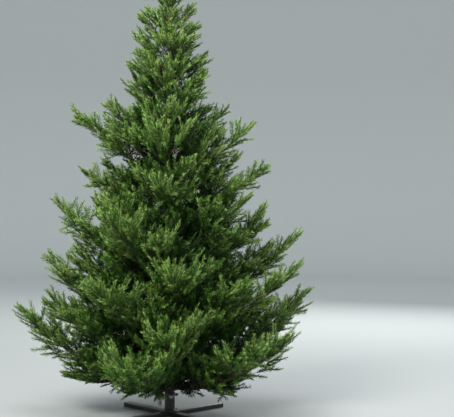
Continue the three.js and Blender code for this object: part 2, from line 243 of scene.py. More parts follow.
# How light a needle's tint is. Each part of it is a share of 1: open to the sky, which is painted light; near
# the finger's tip, partly the tips' own paler colour and partly painted light, as it is less where a finger
# lies deep; high up, painted light from above; and chance by branchlet, by finger and by needle.
OPEN_LIGHT = 0.38
OPEN_REACH = (0.30, 0.85)
TIP_LIGHT = 0.46
TIP_LIGHT_POWER = 1.5
INNER_TIP_LIGHT = 0.35
HEIGHT_LIGHT = 0.32
LIT_HEIGHTS = (0.1, 0.6)
BRANCHLET_LIGHT_SPREAD = 0.12
FINGER_LIGHT_SPREAD = 0.09
NEEDLE_LIGHT_SPREAD = 0.12
# Side shoots near a twig's root are painted darker, as shade inside the fan, and those near its end lighter.
# The finger at a twig's end is lighter, partly as a pale tip and partly as painted light on the fan's open
# end.
SHOOT_LIGHTS = (-0.10, 0.06)
TWIG_TIP_LIGHT = 0.07
# Fingers along the limbs and round the pole are painted darker, as shade inside the crown.
INNER_LIGHT = -0.1
# From this height up to the pole's top every finger counts as more and more open, up to fully open, so its
# needles are painted lighter, as painted light.
OPEN_TOP = 1.45

# How far the crown reaches at each height, read off the photograph: height, reach.
CROWN_OUTLINE = [
    (0.05, 0.25), (0.15, 0.45), (0.33, 0.62), (0.53, 0.71), (0.74, 0.60), (0.88, 0.58), (1.01, 0.52),
    (1.12, 0.44), (1.38, 0.41), (1.46, 0.27), (1.60, 0.21), (1.78, 0.16), (1.90, 0.11), (2.10, 0.03),
]
OVERREACH = 0.010
CROWN_FLOOR = 0.09

# The photograph's camera: its height and distance from the pole, its turn and tilt, and its lens.
CAMERA_HEIGHT = 1.092
CAMERA_DISTANCE = 5.6
CAMERA_TURN = 2.72
CAMERA_TILT = 1.35
CAMERA_LENS = 96.0
CAMERA_SENSOR = 36.0

UP = np.array([0.0, 0.0, 1.0])
CORNER_STEPS = 5
# A direction nearer to upright than this sine has no clear side.
LEAST_SINE = 0.1
rng = np.random.default_rng(2100)


# Small helpers
def lerp(a, b, t):
    return a + (b - a) * t


def unit(v):
    v = np.asarray(v, float)
    return v / np.linalg.norm(v, axis=-1, keepdims=True)


def chance(a, b, c):
    """The part's own repeatable random number from 0 to 1 for three whole numbers."""
    wave = math.sin(a * 12.9898 + b * 78.233 + c * 37.719) * 43758.5453
    return wave - math.floor(wave)


def jitter(a, b, c, size):
    return (2 * chance(a, b, c) - 1) * size


def smooth_step(low, high, value):
    share = np.clip((value - low) / (high - low), 0, 1)
    return share * share * (3 - 2 * share)


def turn_about(v, axis, angle):
    """Vector v turned about a unit axis."""
    cosine = math.cos(angle)
    return v * cosine + np.cross(axis, v) * math.sin(angle) + axis * np.dot(axis, v) * (1 - cosine)


def pole_radius(height):
    for top, radius in POLE:
        if height < top:
            return radius
    return 0.0


def crown_reach(height):
    heights, reaches = zip(*CROWN_OUTLINE)
    return float(np.interp(height, heights, reaches))


def mesh_object(name, points, faces, material, smooth=False):
    """A mesh object from an array of points and lists or an array of faces."""
    mesh = bpy.data.meshes.new(name)
    points = np.asarray(points, np.float32)
    if isinstance(faces, np.ndarray):
        corners = faces.ravel()
        sizes = np.full(len(faces), faces.shape[1])
    else:
        corners = np.concatenate([np.asarray(f) for f in faces])
        sizes = np.array([len(f) for f in faces])
    starts = np.concatenate([[0], np.cumsum(sizes)[:-1]])
    mesh.vertices.add(len(points))
    mesh.vertices.foreach_set("co", points.ravel())
    mesh.loops.add(len(corners))
    mesh.loops.foreach_set("vertex_index", corners.astype(np.int32))
    mesh.polygons.add(len(sizes))
    mesh.polygons.foreach_set("loop_start", starts.astype(np.int32))
    mesh.polygons.foreach_set("use_smooth", np.full(len(sizes), smooth))
    mesh.update(calc_edges=True)
    mesh.materials.append(material)
    made = bpy.data.objects.new(name, mesh)
    bpy.context.scene.collection.objects.link(made)
    return made


class MeshParts:
    """Collects points and faces of many small shapes that become one mesh."""

    def __init__(self):
        self.points = []
        self.faces = []
        self.count = 0

    def add(self, points, faces):
        self.points.append(np.asarray(points, float))
        self.faces.extend([np.asarray(f) + self.count for f in faces])
        self.count += len(points)

    def to_object(self, name, material, smooth=False):
        return mesh_object(name, np.concatenate(self.points), self.faces, material, smooth)


def tube(path, radii, sides, closed=True):
    """Points and faces of a tube through a path of points, with a radius, or a row of radii, at each."""
    path = np.asarray(path, float)
    tangents = unit(np.gradient(path, axis=0))
    start = np.cross(tangents[0], UP)
    if np.linalg.norm(start) < LEAST_SINE:
        start = np.array([1.0, 0.0, 0.0])
    side = unit(start)
    turns = np.arange(sides) * 2 * math.pi / sides
    rings = []
    for point, tangent, radius in zip(path, tangents, radii):
        side = unit(side - tangent * np.dot(side, tangent))
        other = np.cross(tangent, side)
        spokes = np.outer(np.cos(turns), side) + np.outer(np.sin(turns), other)
        rings.append(point + spokes * np.reshape(radius, (-1, 1)))
    faces = ring_faces(len(path), sides)
    if closed:
        faces.append(tuple(range(sides))[::-1])
        faces.append(tuple(len(path) * sides - sides + j for j in range(sides)))
    return np.concatenate(rings), faces


def ring_faces(rings, sides, closed=False):
    """Four-sided faces between rings of points, also from the last ring to the first where it is closed."""
    faces = []
    for i in range(rings if closed else rings - 1):
        low = i * sides
        high = ((i + 1) % rings) * sides
        for j in range(sides):
            after = (j + 1) % sides
            faces.append((low + j, low + after, high + after, high + j))
    return faces


def turned(profile, sides, closed=False):
    """Points and faces of a profile of (radius, height) points turned about the Z axis."""
    turns = np.arange(sides) * 2 * math.pi / sides
    rings = [
        np.column_stack([r * np.cos(turns), r * np.sin(turns), np.full(sides, h)]) for r, h in profile
    ]
    return np.concatenate(rings), ring_faces(len(profile), sides, closed)


def lofted(sections):
    """Points and faces of a closed body through sections, each (distance along X, (y, z) points)."""
    points = [(x, y, z) for x, section in sections for y, z in section]
    count = len(sections[0][1])
    faces = [tuple(range(count))[::-1]]
    faces.extend(ring_faces(len(sections), count))
    faces.append(tuple(range(len(points) - count, len(points))))
    return np.array(points), faces


def rounded_section(width, height, corner):
    """The points round a rectangle with rounded corners, about its middle."""
    points = []
    for start, side, level in ((0, 1, 1), (90, -1, 1), (180, -1, -1), (270, 1, -1)):
        for step in range(CORNER_STEPS):
            angle = math.radians(start + step * 90 / (CORNER_STEPS - 1))
            across = side * (width / 2 - corner) + corner * math.cos(angle)
            points.append((across, level * (height / 2 - corner) + corner * math.sin(angle)))
    return points


def round_section(radius, sides):
    turns = np.arange(sides) * 2 * math.pi / sides
    return [(radius * math.cos(a), radius * math.sin(a)) for a in turns]


def scaled(section, factor):
    return [(y * factor, z * factor) for y, z in section]


def placed(points, turn, offset=(0.0, 0.0, 0.0)):
    """Points moved by an offset and then turned about the Z axis."""
    x, y, z = (np.asarray(points) + offset).T
    cosine = math.cos(turn)
    sine = math.sin(turn)
    return np.column_stack([x * cosine - y * sine, x * sine + y * cosine, z])


# Materials
def new_material(name, roughness, metallic=0.0, specular=0.5):
    material = bpy.data.materials.new(name)
    material.use_nodes = True
    shader = material.node_tree.nodes["Principled BSDF"]
    shader.inputs["Roughness"].default_value = roughness
    shader.inputs["Metallic"].default_value = metallic
    shader.inputs["Specular IOR Level"].default_value = specular
    return material, shader


def noise_of(tree, scale, detail=3.0):
    place = tree.nodes.new("ShaderNodeTexCoord")
    noise = tree.nodes.new("ShaderNodeTexNoise")
    noise.inputs["Scale"].default_value = scale
    noise.inputs["Detail"].default_value = detail
    tree.links.new(place.outputs["Object"], noise.inputs["Vector"])
    return noise


def mottle(material, shader, dark, light, scale):
    """Colours the surface between two shades with soft noise."""
    tree = material.node_tree
    noise = noise_of(tree, scale)
    ramp = tree.nodes.new("ShaderNodeValToRGB")
    ramp.color_ramp.elements[0].position = 0.35
    ramp.color_ramp.elements[0].color = (*dark, 1)
    ramp.color_ramp.elements[1].position = 0.65
    ramp.color_ramp.elements[1].color = (*light, 1)
    tree.links.new(noise.outputs["Fac"], ramp.inputs["Fac"])
    tree.links.new(ramp.outputs["Color"], shader.inputs["Base Color"])


def roughen(material, shader, scale, strength, distance):
    """Adds a fine bump of soft noise."""
    tree = material.node_tree
    noise = noise_of(tree, scale, detail=4.0)
    bump = tree.nodes.new("ShaderNodeBump")
    bump.inputs["Strength"].default_value = strength
    bump.inputs["Distance"].default_value = distance
    tree.links.new(noise.outputs["Fac"], bump.inputs["Height"])
    tree.links.new(bump.outputs["Normal"], shader.inputs["Normal"])


def vary_roughness(material, shader, scale, low, high):
    tree = material.node_tree
    noise = noise_of(tree, scale)
    spread = tree.nodes.new("ShaderNodeMapRange")
    spread.inputs["To Min"].default_value = low
    spread.inputs["To Max"].default_value = high
    tree.links.new(noise.outputs["Fac"], spread.inputs["Value"])
    tree.links.new(spread.outputs["Result"], shader.inputs["Roughness"])


def shade(colour, factor):
    return tuple(c * factor for c in colour)


def needle_material(name, colour):
    material, shader = new_material(name, roughness=0.5, specular=0.22)
    mottle(material, shader, dark=shade(colour, 0.8), light=shade(colour, 1.2), scale=14.0)
    vary_roughness(material, shader, scale=60.0, low=0.40, high=0.56)
    return material


def tape_material():
    material, shader = new_material("brown_tape", roughness=0.8, specular=0.3)
    mottle(material, shader, dark=(0.045, 0.030, 0.016), light=(0.110, 0.075, 0.040), scale=45.0)
    roughen(material, shader, scale=420.0, strength=0.35, distance=0.0012)
    return material


def green_twig_material():
    material, shader = new_material("green_twig", roughness=0.7, specular=0.2)
    mottle(material, shader, dark=(0.014, 0.034, 0.006), light=(0.040, 0.066, 0.014), scale=60.0)
    roughen(material, shader, scale=500.0, strength=0.3, distance=0.0008)
    return material


def paint_material():
    material, shader = new_material("stand_paint", roughness=0.42, specular=0.5)
    mottle(material, shader, dark=(0.012, 0.016, 0.012), light=(0.020, 0.025, 0.019), scale=18.0)
    vary_roughness(material, shader, scale=35.0, low=0.36, high=0.52)
    roughen(material, shader, scale=900.0, strength=0.2, distance=0.0004)
    return material


def steel_material():
    material, shader = new_material("plated_steel", roughness=0.32, metallic=1.0)
    mottle(material, shader, dark=(0.26, 0.26, 0.25), light=(0.36, 0.36, 0.34), scale=70.0)
    vary_roughness(material, shader, scale=160.0, low=0.34, high=0.50)
    return material


def plastic_material():
    material, shader = new_material("black_plastic", roughness=0.55, specular=0.4)
    mottle(material, shader, dark=(0.008, 0.008, 0.008), light=(0.014, 0.014, 0.014), scale=80.0)
    roughen(material, shader, scale=1400.0, strength=0.3, distance=0.0003)
    return material


# Tints of the needles, from painted shade deep inside the crown to the pale tips, partly their own colour and
# partly painted light where they lie open and high, and the share of all needles that are darker than the
# second tint, the third and so on
TINTS = {
    "deep": (0.0028, 0.0140, 0.0012),
    "dark": (0.0090, 0.0360, 0.0030),
    "mid": (0.027, 0.083, 0.007),
    "fresh_and_lit": (0.064, 0.134, 0.017),
    "tip": (0.114, 0.190, 0.042),
}
TINT_SHARES = (0.17, 0.39, 0.64, 0.85)


# The boughs, by the part's own rule
def tangent_of(bough, t):
    return unit(bough.at(t + TANGENT_STEP) - bough.at(t - TANGENT_STEP))


class Bough:
    """One bough: a curve from the pole out and up to its tip."""

    def __init__(self, w, k, whorl):
        height, count, turn, right, left, slope, curl = whorl
        # The first bough of a whorl keeps to the whorl's own values.
        free = 0 if k == 0 else 1
        wander = free * WANDER[k % 2]
        self.key = w * MOST_BOUGHS + k
        self.azimuth = math.radians(turn + k * 360 / count + jitter(w, k, 1, wander))
        middle = (right + left) / 2
        self.reach = middle + (right - left) / 2 * math.cos(self.azimuth)
        self.reach *= 1 + jitter(w, k, 2, REACH_SPREAD * free)
        self.slope = slope + jitter(w, k, 3, SLOPE_SPREAD)
        self.curl = curl * (1 + jitter(w, k, 4, CURL_SPREAD * free))
        self.sidewise = math.cos(self.azimuth) ** 2
        self.curl *= lerp(FRONT_CURL, 1, self.sidewise)
        self.sway = jitter(w, k, 5, SWAY)
        self.pull = lerp(FRONT_PULL, SIDE_PULL, self.sidewise)
        self.height = height
        self.taped = w < len(WHORLS)
        self.thickness = 1.0 if self.taped else INFILL_THICKNESS
        self.start = pole_radius(height) + COLLAR_PROUD + GAP
        self.outward = np.array([math.cos(self.azimuth), math.sin(self.azimuth), 0.0])
        self.leftward = np.array([-self.outward[1], self.outward[0], 0.0])

    def at(self, t):
        out = (self.reach - self.start) * t
        rise = self.slope * out + self.curl * abs(t) * t
        aside = self.sway * math.sin(math.pi * t)
        return self.outward * (self.start + out) + self.leftward * aside + UP * (self.height + rise)

    def branchlet_direction(self, t, k):
        forward = tangent_of(self, t)
        side = unit(np.cross(UP, forward))
        rise = np.cross(forward, side)
        hand, lift, _ = ROWS[k % len(ROWS)]
        swing = lerp(1.0, LEAST_SWING, chance(self.key, k, 11))
        turn = swing * math.radians(lerp(*BRANCHLET_TURNS, t) + jitter(self.key, k, 6, TURN_SPREAD))
        lift = lift * math.sin(turn) + jitter(self.key, k, 7, LIFT_SPREAD)
        return unit(forward * math.cos(turn) + side * hand * math.sin(turn) + rise * lift)

    def branchlet_length(self, t, k):
        full = min(BRANCHLET_SHARE * (1 - t) * self.reach + BRANCHLET_BASE, LONGEST_BRANCHLET)
        return full * ROWS[k % len(ROWS)][2] * (1 + jitter(self.key, k, 8, LENGTH_SPREAD))

    def roll(self, k):
        full = BRANCHLET_ROLL * ROWS[k % len(ROWS)][0] + jitter(self.key, k, 9, ROLL_SPREAD)
        return full * lerp(1.0, SIDE_ROLL, self.sidewise)

    def branchlets(self):
        """(place along the bough, direction, length, roll, breadth) of each branchlet."""
        count = round(BRANCHLETS_LEAST + BRANCHLETS_PER_METRE * self.reach)
        for k in range(count):
            share = (k + chance(self.key, k, 10)) / count
            t = lerp(FIRST_BRANCHLET, LAST_BRANCHLET, share ** BRANCHLET_CROWDING)
            yield t, self.branchlet_direction(t, k), self.branchlet_length(t, k), self.roll(k), 1.0
        start = 1 - LAST_TWIG - LAST_TWIG_ROOT / self.reach
        straight = self.at(1.0) - self.at(start)
        length = np.linalg.norm(straight) / (1 + 0.5 * self.pull)
        direction = unit(straight / length - self.pull * UP)
        yield start, direction, length, jitter(self.key, 0, 12, LAST_TWIG_ROLL), LAST_TWIG_BREADTH

    def limb(self):
        """The limb's path and its radii, a row for each point: wound with tape in laps."""
        rings = LIMB_RINGS
        if self.taped:
            rings = round(self.reach * LIMB_END / TAPE_PITCH) * RINGS_PER_LAP
        steps = np.linspace(0.0, LIMB_END, rings + 1)
        laps = (np.arange(rings + 1)[:, None] / RINGS_PER_LAP + np.arange(LIMB_SIDES) / LIMB_SIDES) % 1.0
        radii = self.thickness * lerp(LIMB_ROOT_RADIUS, LIMB_TIP_RADIUS, steps)[:, None]
        if self.taped:
            radii = radii - LIMB_TAPE_STEP * laps
        return [self.at(t) for t in steps], radii


class Leader:
    """The upright shoot on top of the pole, with its branchlets all round it."""

    def __init__(self):
        self.key = LEADER_KEY
        self.reach = TREE_HEIGHT - POLE_TOP
        self.pull = SIDE_PULL

    def at(self, t):
        return UP * lerp(POLE_TOP + GAP, TREE_HEIGHT - LEADER_TIP_MARGIN, t)

    def branchlet_direction(self, t, k):
        turn = math.radians(k * SPIRAL_TURN)
        out = np.array([math.cos(turn), math.sin(turn), 0.0])
        return unit(out * lerp(*LEADER_LEANS, t) + UP)

    def branchlet_length(self, t, k):
        return lerp(*LEADER_LENGTHS, t) * (1 + jitter(self.key, k, 8, LEADER_LENGTH_SPREAD))

    def branchlets(self):
        for k in range(LEADER_BRANCHLETS):
            t = lerp(0.0, LEADER_LAST_BRANCHLET, (k / LEADER_BRANCHLETS) ** LEADER_CROWDING)
            roll = jitter(self.key, k, 9, ROLL_SPREAD)
            yield t, self.branchlet_direction(t, k), self.branchlet_length(t, k), roll, 1.0
        length = LEADER_TIP_SHARE * self.reach / (1 + self.pull)
        yield 1 - LEADER_TIP_SHARE, UP, length, 0.0, LEADER_TIP_BREADTH

    def limb(self):
        steps = np.linspace(0.0, LIMB_END, LIMB_RINGS)
        radii = [lerp(LEADER_ROOT_RADIUS, LIMB_TIP_RADIUS, t) for t in steps]
        return [self.at(t) for t in steps], radii


def list_boughs():
    boughs = []
    for w, whorl in enumerate(WHORLS + INFILL):
        for k in range(whorl[1]):
            boughs.append(Bough(w, k, whorl))
    boughs.append(Leader())
    return boughs


# The crown's twigs and fingers
def face_of(direction, roll):
    """The upper face's normal of a branchlet that runs in a direction."""
    up = UP - direction * np.dot(direction, UP)
    if np.linalg.norm(up) < LEAST_SINE:
        up = np.array([0.0, -1.0, 0.0])
    return turn_about(unit(up), direction, roll)


class Crown:
    """The whole crown: its fingers of needles, a row of numbers each, and the wood that bears them."""

    def __init__(self):
        self.boughs = list_boughs()
        self.fingers = []
        self.twigs = MeshParts()
        self.limbs = MeshParts()
        # How far from the pole the fingers of the bough that grows may reach, and how much they bend up
        self.limit = 0.0
        self.rise = 0.0
        for bough in self.boughs:
            self.grow_bough(bough)
        self.grow_pole_shoots()

    def grow_bough(self, bough):
        path, radii = bough.limb()
        self.limbs.add(*tube(path, radii, LIMB_SIDES))
        self.limit = bough.reach + OVERREACH
        self.rise = FINGER_PULL_SHARE * bough.pull
        pull = bough.pull * UP
        for t, direction, length, roll, breadth in bough.branchlets():
            face = face_of(direction, roll)
            light = rng.normal(0, BRANCHLET_LIGHT_SPREAD)
            self.grow_twig(bough.at(t), direction, face, pull, length, 1, light, breadth)
        for t in np.arange(*LIMB_FINGER_PLACES, LIMB_FINGER_SPACING / bough.reach):
            heading = unit(tangent_of(bough, t) + LIMB_FINGER_SCATTER * rng.normal(0, 1, 3))
            face = face_of(heading, 0.0)
            # Fingers along a limb are painted darker, as shade inside the crown.
            self.add_finger(bough.at(t), heading, face, 0 * UP, FINGER_LONGEST, INNER_LIGHT)

    def grow_pole_shoots(self):
        """Short upright shoots all round the pole, which hide it between the whorls."""
        self.rise = FINGER_PULL_SHARE * SIDE_PULL
        for k, height in enumerate(np.arange(FIRST_POLE_SHOOT, POLE_TOP, POLE_SHOOT_SPACING)):
            turn = math.radians(k * SPIRAL_TURN)
            outward = np.array([math.cos(turn), math.sin(turn), 0.0])
            root = outward * pole_radius(height) + UP * height
            heading = unit(outward + UP * rng.uniform(*POLE_SHOOT_RISES))
            length = rng.uniform(*POLE_SHOOT_LENGTHS)
            self.limit = POLE_SHOOT_REACH * crown_reach(height)
            # Pole shoots are painted darker, as shade inside the crown.
            self.grow_twig(root, heading, face_of(heading, 0.0), SIDE_PULL * UP, length, 1, INNER_LIGHT)

    def grow_twig(self, root, heading, face, pull, length, order, light, breadth=1.0):
        """Grows a twig whose side shoots fork left and right in one plane, down to single fingers."""
        if (root + (heading + pull) * length)[2] < CROWN_FLOOR:
            return
        if length < FORKING_LENGTH or order == LAST_ORDER:
            finger = min(max(length, FINGER_SHORTEST), FINGER_LONGEST)
            self.add_finger(root, heading, face, pull, finger, light)
            return
        left = np.cross(face, heading)

        def at(s):
            return root + length * (heading * s + pull * s * s)

        def forward_at(s):
            return unit(heading + 2 * pull * s)

        bare = 1 - FINGER_LENGTH / length
        steps = np.linspace(0, bare + TWIG_INTO_FINGER, TWIG_RINGS)
        radii = [lerp(TWIG_ROOT_RADIUS / order, TWIG_TIP_RADIUS, s) for s in steps]
        self.twigs.add(*tube([at(s) for s in steps], radii, TWIG_SIDES, closed=False))
        spacing = FORK_SPACING if order == 1 else SIDE_FORK_SPACING
        forks = max(FEWEST_FORKS, round(length / spacing))
        hand = 1 if rng.uniform() < 0.5 else -1
        for j in range(forks):
            s = lerp(*FORK_PLACES, (j + rng.uniform(*FORK_SCATTER)) / forks)
            hand = -hand
            forward = forward_at(s)
            angle = math.radians(rng.uniform(*FORK_ANGLES)) * lerp(NARROWEST_FORK, 1, breadth)
            lift = rng.normal(FORK_LIFT, FORK_LIFT_SPREAD)
            shoot = unit(forward * math.cos(angle) + left * hand * math.sin(angle) + face * lift)
            size = (SHOOT_SHARE * breadth * (1 - s) * length + SHOOT_BASE) * rng.uniform(*SHOOT_SCATTER)
            shoot_face = unit(face + SHOOT_TILT * rng.normal(0, 1, 3))
            shoot_face = unit(shoot_face - shoot * np.dot(shoot_face, shoot))
            shoot_pull = FORWARD_PULL * forward + self.rise * UP
            # Shoots near the twig's root are painted darker, as shade inside the fan.
            shoot_light = light + lerp(*SHOOT_LIGHTS, s) / order
            self.grow_twig(at(s), shoot, shoot_face, shoot_pull, size, order + 1, shoot_light)
        finger = FINGER_LENGTH * rng.uniform(*FINGER_SCATTER)
        # The end finger is lighter, partly as a pale tip and partly as painted light on the fan's open end.
        self.add_finger(at(bare), forward_at(bare), face, self.rise * UP, finger, light + TWIG_TIP_LIGHT)

    def add_finger(self, root, heading, face, pull, length, light):
        """Adds a finger unless it would leave the crown, and shortens one that would reach too far."""
        tip = root + (heading + pull) * length
        reach = math.hypot(tip[0], tip[1])
        length -= max(reach - self.limit, tip[2] - TREE_HEIGHT, 0.0)
        if length < LEAST_FINGER_SHARE * FINGER_SHORTEST or tip[2] < CROWN_FLOOR:
            return
        face = unit(face - heading * np.dot(face, heading))
        # How open the finger lies sets its painted light: open fingers are painted lighter, inner ones
        # darker, as shade.
        spread = min(max(reach / crown_reach(tip[2]), (tip[2] - OPEN_TOP) / (POLE_TOP - OPEN_TOP)), 1.0)
        own_light = light + rng.normal(0, FINGER_LIGHT_SPREAD)
        self.fingers.append((*root, *heading, *face, *pull, length, spread, own_light))


# The columns of a finger's row
ROOT = slice(0, 3)
HEADING = slice(3, 6)
FACE = slice(6, 9)
PULL = slice(9, 12)
LENGTH = 12
SPREAD = 13
LIGHT = 14


def finger_axis(rows, u):
    """The point and the tangent at share u along each finger's bent axis."""
    u = u[:, None]
    points = rows[:, ROOT] + rows[:, LENGTH, None] * (rows[:, HEADING] * u + rows[:, PULL] * u * u)
    return points, unit(rows[:, HEADING] + 2 * rows[:, PULL] * u)


def needle_kites(fingers):
    """Every needle as a kite of four points, and how light its tint is."""
    inner = fingers[:, SPREAD] < INNER_SHARE
    density = np.where(inner, INNER_NEEDLES_PER_METRE, NEEDLES_PER_METRE)
    counts = np.round(fingers[:, LENGTH] * density).astype(int)
    rows = np.repeat(fingers, counts, axis=0)
    scale = np.where(np.repeat(inner, counts), INNER_NEEDLE_SCALE, 1.0)
    total = len(rows)
    order = np.arange(total) - np.repeat(np.cumsum(counts) - counts, counts)
    u = ((order + rng.uniform(*NEEDLE_STATIONS, total)) / np.repeat(counts, counts)) ** TIP_CROWDING
    points, tangents = finger_axis(rows, u)
    face = unit(rows[:, FACE] - tangents * np.sum(rows[:, FACE] * tangents, axis=1, keepdims=True))
    side = np.cross(face, tangents)
    hand = np.where(order % 2 == 0, 1.0, -1.0)
    climb = np.radians(rng.normal(NEEDLE_CLIMB, CLIMB_SPREAD, total))
    spoke = side * (hand * np.cos(climb))[:, None] + face * np.sin(climb)[:, None]
    lean = np.radians(lerp(*NEEDLE_LEANS, u ** 3) + rng.normal(0, LEAN_SPREAD, total))
    reach = np.cos(lean)[:, None] * tangents + np.sin(lean)[:, None] * spoke
    size = NEEDLE_LENGTH * scale * lerp(1.0, TIP_NEEDLE_SCALE, u ** 3) * rng.uniform(*NEEDLE_SCATTER, total)
    size = (size * np.clip(rows[:, LENGTH] / FULL_FINGER, SHORT_FINGER_SCALE, 1.0))[:, None]
    across = unit(np.cross(reach, spoke + NEEDLE_TWIST * rng.normal(0, 1, points.shape)))
    half = across * (NEEDLE_WIDTH * scale / 2)[:, None]
    fold = unit(np.cross(across, reach)) * NEEDLE_WIDTH * NEEDLE_FOLD
    middle = points + reach * size * NEEDLE_MIDDLE + fold
    corners = np.stack([points, middle + half, points + reach * size, middle - half], axis=1)
    return corners, needle_light(rows, u, points[:, 2])


def needle_light(rows, u, height):
    # Painted light and shade: lighter where the finger lies open and high up, darker deep inside. The tips'
    # lift is partly their own paler colour and partly painted light, as it is less where the finger lies
    # deep.
    openness = smooth_step(*OPEN_REACH, rows[:, SPREAD])
    light = OPEN_LIGHT * openness + TIP_LIGHT * u ** TIP_LIGHT_POWER * lerp(INNER_TIP_LIGHT, 1.0, openness)
    raised = HEIGHT_LIGHT * smooth_step(*LIT_HEIGHTS, height)
    return light + (rows[:, LIGHT] + raised + rng.normal(0, NEEDLE_LIGHT_SPREAD, len(rows)))


def needle_faces(count):
    base = np.arange(count)[:, None] * 4
    return np.concatenate([base + [0, 1, 2], base + [0, 2, 3]])


def stem_mesh(rows):
    """A slim three-sided stem inside each finger."""
    rings = []
    for place, radius in zip(STEM_PLACES, STEM_RADII):
        points, tangents = finger_axis(rows, np.full(len(rows), place))
        side = np.cross(rows[:, FACE], tangents)
        for corner in range(STEM_SIDES):
            turn = corner * 2 * math.pi / STEM_SIDES
            rings.append(points + radius * (side * math.cos(turn) + rows[:, FACE] * math.sin(turn)))
    corners = np.stack(rings, axis=1).reshape(-1, 3)
    base = np.arange(len(rows))[:, None] * len(rings)
    quads = [base + list(quad) for quad in ring_faces(len(STEM_PLACES), STEM_SIDES)]
    return corners, np.concatenate(quads)


# The pole, with its tape wound on and a collar at each whorl
POLE_SIDES = 28
POLE_RING = 0.0045
# A collar's face lies inside the part's own by an inset. Its edges are rolled, and its ends sink into the
# tape.
COLLAR_INSET = 0.0004
COLLAR_SINK = 0.002
COLLAR_LIP = 0.0016
COLLAR_GROOVE = 0.0010


def pole_parts():
    parts = MeshParts()
    heights = np.arange(BAR_HEIGHT + GAP, POLE_TOP, POLE_RING)
    turns = np.arange(POLE_SIDES) / POLE_SIDES
    path = [(0.0, 0.0, h) for h in heights]
    radii = [pole_radius(h) - POLE_TAPE_STEP * ((h / TAPE_PITCH + turns) % 1.0) for h in heights]
    parts.add(*tube(path, radii, POLE_SIDES))
    return parts


def collar_parts():
    """Steel rings with a rolled edge, that the boughs' hooks drop into."""
    parts = MeshParts()
    for whorl in WHORLS + INFILL:
        radius = pole_radius(whorl[0])
        proud = radius + COLLAR_PROUD - COLLAR_INSET
        low = whorl[0] - COLLAR_HEIGHT / 2
        high = whorl[0] + COLLAR_HEIGHT / 2
        profile = [
            (radius - COLLAR_SINK, low),
            (proud - COLLAR_LIP, low),
            (proud, low + COLLAR_LIP),
            (proud - COLLAR_GROOVE, low + 2 * COLLAR_LIP),
            (proud - COLLAR_GROOVE, high - 2 * COLLAR_LIP),
            (proud, high - COLLAR_LIP),
            (proud - COLLAR_LIP, high),
            (radius - COLLAR_SINK, high),
        ]
        parts.add(*turned(profile, POLE_SIDES))
    return parts


# The stand
BAR_CORNER = 0.0035
CAP_LENGTH = 0.0045
# An end cap, from its plug inside the tube to its domed face: how far before the bar's end, and what share of
# the bar's section.
CAP_STEPS = [
    (CAP_LENGTH + 0.003, 0.94),
    (CAP_LENGTH - 0.0002, 0.94),
    (CAP_LENGTH - 0.0003, 1.0),
    (0.0012, 1.0),
    (0.0004, 0.97),
    (0.0, 0.88),
]
# The socket's edges, each as (distance out, height) from its own corner
FLANGE_FOOT = [(-0.001, 0.0), (0.0, 0.001)]
FLANGE_EDGE = [(0.0, -0.0016), (-0.0005, -0.0005), (-0.0016, 0.0)]
WELD_BEAD = [(0.0045, 0.0), (0.0034, 0.0016), (0.0016, 0.0034), (0.0, 0.0045)]
ROLLED_RIM = [(0.0, -0.0060), (0.0012, -0.0045), (0.0016, -0.0025), (0.0008, -0.0006), (-0.0008, 0.0)]
RIM_DROP = 0.0008
SOCKET_SIDES = 64
WELD_HEIGHT = 0.004
WELD_RIPPLES = 22
WELD_RIPPLE = 0.014
# A bolt's washer and its six-sided head, as (radius, height) in shares of the bolt's own
BOLT_PLACE = 0.035
BOLT_RADIUS = 0.0055
BOLT_HEIGHT = 0.0042
WASHER_SIDES = 24
BOLT_SIDES = 6
WASHER = [(0.001, 0.0), (1.35, 0.0), (1.35, 0.22), (0.001, 0.22)]
BOLT_HEAD = [(0.001, 0.2), (1.0, 0.24), (1.0, 0.86), (0.84, 1.0), (0.001, 1.0)]
SCREW_PITCH = 0.00125
SCREW_SIDES = 16
SCREW_CORE = 0.86
# A wing screw's head: its waist as a share of its width, how round its ears are and how far they stand up,
# and its sections through its thickness, as (place, size).
WING_SIDES = 48
WING_WAIST = 0.42
WING_EAR_POWER = 1.6
WING_EAR_RISE = 0.25
WING_STEPS = [(-0.5, 0.86), (-0.36, 0.97), (0.0, 1.0), (0.36, 0.97), (0.5, 0.86)]


def bar_parts():
    """Two square tubes halved into each other."""
    parts = MeshParts()
    half = BAR_LENGTH / 2 - CAP_LENGTH
    notch = BAR_WIDTH / 2 + GAP
    full = rounded_section(BAR_WIDTH, BAR_HEIGHT, BAR_CORNER)
    slim = rounded_section(BAR_WIDTH, BAR_HEIGHT / 2 - GAP, BAR_CORNER / 2)
    for index, level in enumerate((BAR_HEIGHT / 4, BAR_HEIGHT * 3 / 4)):
        turn = math.radians(BAR_TURN + 90 * index)
        for x0, x1, section, middle in (
            (-half, -notch, full, BAR_HEIGHT / 2),
            (-notch, notch, slim, level),
            (notch, half, full, BAR_HEIGHT / 2),
        ):
            points, faces = lofted([(x0, section), (x1, section)])
            parts.add(placed(points, turn, (0, 0, middle)), faces)
    return parts


def cap_parts():
    """A plastic plug in each end of the bars, with a softly rounded face."""
    parts = MeshParts()
    section = rounded_section(BAR_WIDTH, BAR_HEIGHT, BAR_CORNER)
    points, faces = lofted([(BAR_LENGTH / 2 - back, scaled(section, share)) for back, share in CAP_STEPS])
    for arm in range(ARMS):
        parts.add(placed(points, math.radians(BAR_TURN + 90 * arm), (0, 0, BAR_HEIGHT / 2)), faces)
    return parts


def from_corner(outline, radius, height):
    return [(radius + out, height + rise) for out, rise in outline]


